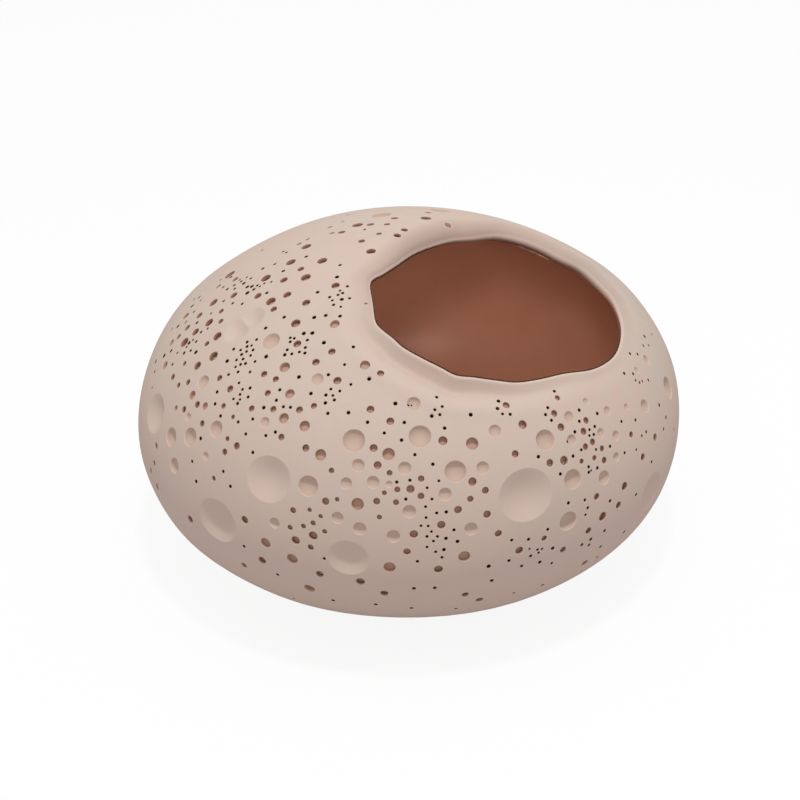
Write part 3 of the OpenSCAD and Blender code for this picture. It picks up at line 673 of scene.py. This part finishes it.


# after the cuts: painted shade at each corner of a crater's faces, a painted highlight just inside each rim,
# and a crisp edge round each crater
def markPits(piece):
    mesh = piece.data
    points = np.empty(len(mesh.vertices) * 3)
    mesh.vertices.foreach_get("co", points)
    points = points.reshape(-1, 3) - [0, 0, seamHeight]
    kinds = np.empty(len(mesh.polygons), int)
    mesh.polygons.foreach_get("material_index", kinds)
    print("faces of each kind:", np.bincount(kinds, minlength=1 + len(kindNames)))
    corners = np.empty(len(mesh.loops), int)
    mesh.loops.foreach_get("vertex_index", corners)
    counts = np.empty(len(mesh.polygons), int)
    mesh.polygons.foreach_get("loop_total", counts)
    cornerKind = np.repeat(kinds, counts)
    touched = np.unique(corners[cornerKind > 0])
    depth = np.zeros(len(points))
    depth[touched] = -(potGap(points[touched]) + sunkBy(points[touched]))
    facing = np.empty(len(mesh.polygons) * 3)
    middles = np.empty(len(mesh.polygons) * 3)
    mesh.polygons.foreach_get("normal", facing)
    mesh.polygons.foreach_get("center", middles)
    facing = facing.reshape(-1, 3)
    steep = 1 - np.abs((facing * outWay(middles.reshape(-1, 3) - [0, 0, seamHeight])).sum(axis=1))
    full, floorTone, wallTone = (np.array([1.0] + [kind[name] for kind in craterKinds.values()])
                                 for name in ("full", "floor", "wall"))
    # painted shade: darker with depth into a crater, and darker on its steep walls
    pitShade = floorTone[cornerKind] + (wallTone - floorTone)[cornerKind] * np.repeat(steep, counts)
    pitShade *= np.clip(depth[corners] / full[cornerKind], 0, 1) * (cornerKind > 0)
    mesh.attributes.new("pitShade", "FLOAT", "CORNER").data.foreach_set("value", pitShade)
    # painted highlight: a pale line on a crater's faces just inside its rim
    rim = np.clip(1 - depth[corners] / craterForm["rimWidth"], 0, 1) * (cornerKind > 1)
    mesh.attributes.new("rim", "FLOAT", "CORNER").data.foreach_set("value", rim)
    bpy.ops.object.select_all(action="DESELECT")
    piece.select_set(True)
    bpy.context.view_layer.objects.active = piece
    bpy.ops.object.shade_smooth_by_angle(angle=math.radians(craterForm["smoothBelow"]))
    edges = np.empty(len(mesh.loops), int)
    mesh.loops.foreach_get("edge_index", edges)
    lowest = np.full(len(mesh.edges), 9)
    highest = np.zeros(len(mesh.edges), int)
    np.minimum.at(lowest, edges, np.minimum(cornerKind, 1))
    np.maximum.at(highest, edges, np.minimum(cornerKind, 1))
    sharp = np.zeros(len(mesh.edges), bool)
    sharpMark = mesh.attributes.get("sharp_edge") or mesh.attributes.new("sharp_edge", "BOOLEAN", "EDGE")
    sharpMark.data.foreach_get("value", sharp)
    sharpMark.data.foreach_set("value", sharp | (lowest != highest))
    mesh.polygons.foreach_set("material_index", np.zeros(len(mesh.polygons), int))
    mesh.materials.clear()
    counted = np.bincount(edges, minlength=len(mesh.edges))
    print("triangles:", int((counts - 2).sum()), "open edges:", int((counted != 2).sum()))


markPits(clay)

# the glaze: a thin closed coat that starts on the lip's rounding and covers the inside
glazeForm = {
    "thick": 0.45 * mm,
    "sunk": 0.15 * mm,          # how far it reaches into the clay
    "roundRings": 6,
    "bead": (0.15, 0.8, 1.2, 1.2, 1.1, 1.0, 1.0),   # its thickness over the rounding, as shares
    "darkWidth": 1.0 * mm,      # width of the painted shade along the rolled edge
    "softWidth": 3 * mm,        # the same where the edge runs out thin
    "softShare": 0.75,          # how dark the painted shade is there
    "thinEdge": 0.9,            # how much thinner it starts where its edge isn't rolled
    "thinRings": 16,
}
coatStart = columnStation[:, 5]
roundTurns = [coatStart + (collarForm["lipTurn"] - coatStart) * k / glazeForm["roundRings"]
              for k in range(glazeForm["roundRings"] + 1)]
roundPlaces, roundWays = zip(*(onLip(turn) for turn in roundTurns))
coatPlaces = np.concatenate([roundPlaces, innerSkin])
coatWays = np.concatenate([roundWays, innerWays])
coatThick = np.ones((len(coatPlaces), 1))
coatThick[:len(glazeForm["bead"]), 0] = glazeForm["bead"]
thinEdge = np.clip(1 - np.arange(len(coatPlaces))[:, None] / glazeForm["thinRings"], 0, 1)
coatThick = coatThick * (1 - glazeForm["thinEdge"] * (thinEdge * (1 - columnStation[:, 6])))
front = coatPlaces + coatWays * (coatThick * glazeForm["thick"])[..., None]
behind = coatPlaces - coatWays * glazeForm["sunk"]
runs = np.linalg.norm(np.diff(front, axis=0), axis=2).cumsum(axis=0)
runs = np.concatenate([np.zeros((1, potForm["columns"])), runs])
# painted shade: a dark line along the glaze's start, wider and softer where its edge runs out thin
edgeShadeHere = np.clip(columnStation[:, 6], 0, 1)
dark = np.clip(1.4 - runs / glazeForm["darkWidth"], 0, 1) * edgeShadeHere
softDark = glazeForm["softShare"] * np.clip(1.2 - runs / glazeForm["softWidth"], 0, 1) * (1 - edgeShadeHere)
dark = np.maximum(dark, softDark)
glaze = shapeSphere("glaze_coat", np.concatenate([behind[::-1], front]),
                    {"edgeShade": np.concatenate([dark[::-1], dark])})
print("glaze:", len(glaze.data.polygons), "faces")


# materials
def addNode(tree, kind, links={}, **settings):  # links: what is linked to its inputs or set on them
    node = tree.nodes.new(kind)
    for name, value in settings.items():
        setattr(node, name, value)
    for name, value in links.items():
        if isinstance(value, bpy.types.NodeSocket):
            tree.links.new(value, node.inputs[name])
        else:
            node.inputs[name].default_value = value
    return node


def colour(red, green, blue):  # a colour as it looks, for a shader
    return tuple(((v + 0.055) / 1.055) ** 2.4 for v in (red, green, blue)) + (1,)


def newMaterial(name):
    material = bpy.data.materials.new(name)
    material.use_nodes = True
    material.node_tree.nodes.clear()
    return material, material.node_tree


def mixColour(tree, share, first, second):
    mix = tree.nodes.new("ShaderNodeMix")
    mix.data_type = "RGBA"
    for socket, value in zip((mix.inputs[0], mix.inputs[6], mix.inputs[7]), (share, first, second)):
        if isinstance(value, bpy.types.NodeSocket):
            tree.links.new(value, socket)
        else:
            socket.default_value = value
    return mix.outputs[2]


def noise(tree, place, scale, detail):
    links = {"Vector": place, "Scale": scale, "Detail": detail}
    return addNode(tree, "ShaderNodeTexNoise", links).outputs["Fac"]


def marked(tree, name):  # the value that the mesh holds under a name
    return addNode(tree, "ShaderNodeAttribute", attribute_name=name).outputs["Fac"]


def scaled(tree, value, low, high, toLow=0.0, toHigh=1.0):
    return addNode(tree, "ShaderNodeMapRange", {
        "Value": value, "From Min": low, "From Max": high, "To Min": toLow, "To Max": toHigh}).outputs[0]


clayLook = {
    "body": colour(0.825, 0.753, 0.70),
    "pink": colour(0.84, 0.738, 0.682),
    "grey": colour(0.805, 0.744, 0.698),
    # painted shade: a pinker clay colour for the lower part, where it lies in shade
    "low": colour(0.85, 0.747, 0.697),
    # painted highlight for crater rims and the lip's edge
    "rim": colour(0.91, 0.83, 0.775),
    # painted shade in the craters, from the clay's colour through red-brown to near black
    "pitShades": ((0.0, colour(0.82, 0.74, 0.685)), (0.4, colour(0.77, 0.625, 0.55)),
             (0.8, colour(0.47, 0.305, 0.24)), (1.0, colour(0.07, 0.035, 0.03))),
    # glaze stain, which also stands for painted shade near the lip
    "glazeStainAndShade": colour(0.54, 0.38, 0.31),
    "roughness": 0.9,
}


def clayMaterial():
    material, tree = newMaterial("matt clay")
    place = addNode(tree, "ShaderNodeTexCoord").outputs["Object"]
    broad = noise(tree, place, 18.0, 2.0)
    small = noise(tree, place, 160.0, 3.0)
    base = mixColour(tree, scaled(tree, broad, 0.35, 0.65), clayLook["grey"], clayLook["pink"])
    base = mixColour(tree, scaled(tree, small, 0.3, 0.7), base, clayLook["body"])
    height = addNode(tree, "ShaderNodeSeparateXYZ", {"Vector": place}).outputs["Z"]
    # painted shade: the clay turns pinker towards the bottom
    base = mixColour(tree, scaled(tree, height, 0.1, 0.03), base, clayLook["low"])
    # painted highlight round the craters' rims
    rim = marked(tree, "rim")
    base = mixColour(tree, scaled(tree, rim, 0, 1, 0, 0.8), base, clayLook["rim"])
    # painted shade inside the craters
    pitShade = marked(tree, "pitShade")
    ramp = addNode(tree, "ShaderNodeValToRGB", {"Fac": pitShade})
    steps = ramp.color_ramp.elements
    while len(steps) < len(clayLook["pitShades"]):
        steps.new(0.5)
    for step, (share, tone) in zip(steps, clayLook["pitShades"]):
        step.position = share
        step.color = tone
    base = mixColour(tree, scaled(tree, pitShade, 0, 0.1), base, ramp.outputs["Color"])
    # glaze run and stain by the lip, partly painted shade on the slopes into the mouth
    glazeStainAndShadeMark = marked(tree, "glazeStainAndShade")
    base = mixColour(tree, glazeStainAndShadeMark, base, clayLook["glazeStainAndShade"])
    # painted highlight along the lip's edge
    paleMark = marked(tree, "edgeHighlight")
    base = mixColour(tree, scaled(tree, paleMark, 0, 1, 0, 0.7), base, clayLook["rim"])
    grain = noise(tree, place, 2600.0, 2.0)
    bump = addNode(tree, "ShaderNodeBump", {"Height": grain, "Strength": 0.12, "Distance": 0.0001})
    shader = addNode(tree, "ShaderNodeBsdfPrincipled", {
        "Base Color": base, "Roughness": clayLook["roughness"], "Normal": bump.outputs["Normal"],
        "Specular IOR Level": 0.25})
    addNode(tree, "ShaderNodeOutputMaterial", {"Surface": shader.outputs[0]})
    return material


glazeLook = {
    "body": colour(0.68, 0.47, 0.37),
    "deep": colour(0.66, 0.44, 0.335),
    # painted shade along the glaze's start
    "edgeShade": colour(0.24, 0.11, 0.075),
    "roughness": 0.42,
}


def glazeMaterial():
    material, tree = newMaterial("brown glaze")
    place = addNode(tree, "ShaderNodeTexCoord").outputs["Object"]
    broad = noise(tree, place, 30.0, 3.0)
    base = mixColour(tree, scaled(tree, broad, 0.3, 0.7), glazeLook["deep"], glazeLook["body"])
    # painted shade along the glaze's start; the same mark dulls the glaze there
    edgeShade = marked(tree, "edgeShade")
    base = mixColour(tree, edgeShade, base, glazeLook["edgeShade"])
    duller = scaled(tree, edgeShade, 0, 0.6, glazeLook["roughness"], 0.95)
    grain = noise(tree, place, 900.0, 2.0)
    bump = addNode(tree, "ShaderNodeBump", {"Height": grain, "Strength": 0.15, "Distance": 0.0002})
    shader = addNode(tree, "ShaderNodeBsdfPrincipled", {
        "Base Color": base, "Roughness": duller, "Normal": bump.outputs["Normal"],
        "Specular IOR Level": 0.35})
    addNode(tree, "ShaderNodeOutputMaterial", {"Surface": shader.outputs[0]})
    return material


clay.data.materials.append(clayMaterial())
glaze.data.materials.clear()
glaze.data.materials.append(glazeMaterial())
for piece, nodes, slot in (
        (clay, ("lower_bowl", "upper_dome", "equator_slip", "mouth_collar", "collar_slip"), "clay"),
        (glaze, ("glaze_lining",), "glaze")):
    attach(piece, "root")
    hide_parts(*nodes)
print("materials done")

# stage, light and camera
stageLook = {
    "floorHalf": 4.0,
    "floorTone": 0.6,           # what the floor throws back on to the pot
    "white": 0.9,               # share of the floor that is seen white whatever falls on it
    "sky": 0.63,
    # lamps: how far they are turned from the camera, height angle, distance, size and brightness
    "lamps": {"overhead key": (12, 78, 1.1, 0.09, 0.4), "inside glow": (-4, 12, 1.2, 0.8, 0.46),
              "inside light": (-4, 39, 1.2, 0.16, 0.25)},
    # lamps that light the glaze alone: whether they cast shadows and shine on it
    "glazeOnly": {"inside glow": False, "inside light": True},
}


def addFloor():
    bpy.ops.mesh.primitive_plane_add(size=2 * stageLook["floorHalf"])
    floor = bpy.context.object
    floor.name = "floor"
    material, tree = newMaterial("pale floor")
    camera = addNode(tree, "ShaderNodeLightPath").outputs["Is Camera Ray"]
    matt = addNode(tree, "ShaderNodeBsdfDiffuse", {"Color": (stageLook["floorTone"],) * 3 + (1,)})
    pale = addNode(tree, "ShaderNodeBsdfDiffuse", {"Color": (1, 1, 1, 1)})
    white = addNode(tree, "ShaderNodeEmission", {"Color": (1, 1, 1, 1), "Strength": 1.0})
    seen = addNode(tree, "ShaderNodeMixShader", {"Fac": stageLook["white"]})
    tree.links.new(pale.outputs[0], seen.inputs[1])
    tree.links.new(white.outputs[0], seen.inputs[2])
    mix = addNode(tree, "ShaderNodeMixShader", {"Fac": camera})
    tree.links.new(matt.outputs[0], mix.inputs[1])
    tree.links.new(seen.outputs[0], mix.inputs[2])
    addNode(tree, "ShaderNodeOutputMaterial", {"Surface": mix.outputs[0]})
    floor.data.materials.append(material)


def addLight():
    world = bpy.data.worlds.new("studio")
    scene.world = world
    world.use_nodes = True
    tree = world.node_tree
    tree.nodes.clear()
    path = addNode(tree, "ShaderNodeLightPath")
    strength = scaled(tree, path.outputs["Is Camera Ray"], 0, 1, stageLook["sky"], 1.0)
    sky = addNode(tree, "ShaderNodeBackground", {"Color": (1, 1, 1, 1), "Strength": strength})
    addNode(tree, "ShaderNodeOutputWorld", {"Surface": sky.outputs[0]})
    for name, (turned, height, away, size, bright) in stageLook["lamps"].items():
        lamp = bpy.data.lights.new(name, "AREA")
        lamp.size = size
        lamp.energy = bright * (math.pi * away) ** 2    # a white sheet that faces it would look this bright
        lampObject = bpy.data.objects.new(name, lamp)
        scene.collection.objects.link(lampObject)
        a, e = math.radians(photoView["azimuth"] + turned), math.radians(height)
        way = Vector((math.sin(a) * math.cos(e), -math.cos(a) * math.cos(e), math.sin(e)))
        turn = way.to_track_quat("Z", "Y").to_matrix().to_4x4()
        lampObject.matrix_world = Matrix.Translation(Vector((0, 0, seamHeight)) + way * away) @ turn
        if name in stageLook["glazeOnly"]:
            lit = bpy.data.collections.new("lit by " + name)
            lit.objects.link(glaze)
            lampObject.light_linking.receiver_collection = lit
            lampObject.visible_glossy = stageLook["glazeOnly"][name]
            lamp.use_shadow = stageLook["glazeOnly"][name]


def addCamera():  # where the photo was taken from
    back, right, up = (Vector(v) for v in viewAxes())
    data = bpy.data.cameras.new("photo camera")
    data.sensor_width = 36
    data.lens = photoView["focal"] / photoView["frame"] * data.sensor_width
    data.shift_x = 0.5 - photoView["centre"][0] / photoView["frame"]
    data.shift_y = photoView["centre"][1] / photoView["frame"] - 0.5
    camera = bpy.data.objects.new("photo camera", data)
    scene.collection.objects.link(camera)
    turn = Matrix((right, up, back)).transposed().to_4x4()
    camera.matrix_world = Matrix.Translation(Vector((0, 0, seamHeight)) + back * photoView["away"]) @ turn
    scene.camera = camera


addFloor()
addLight()
addCamera()
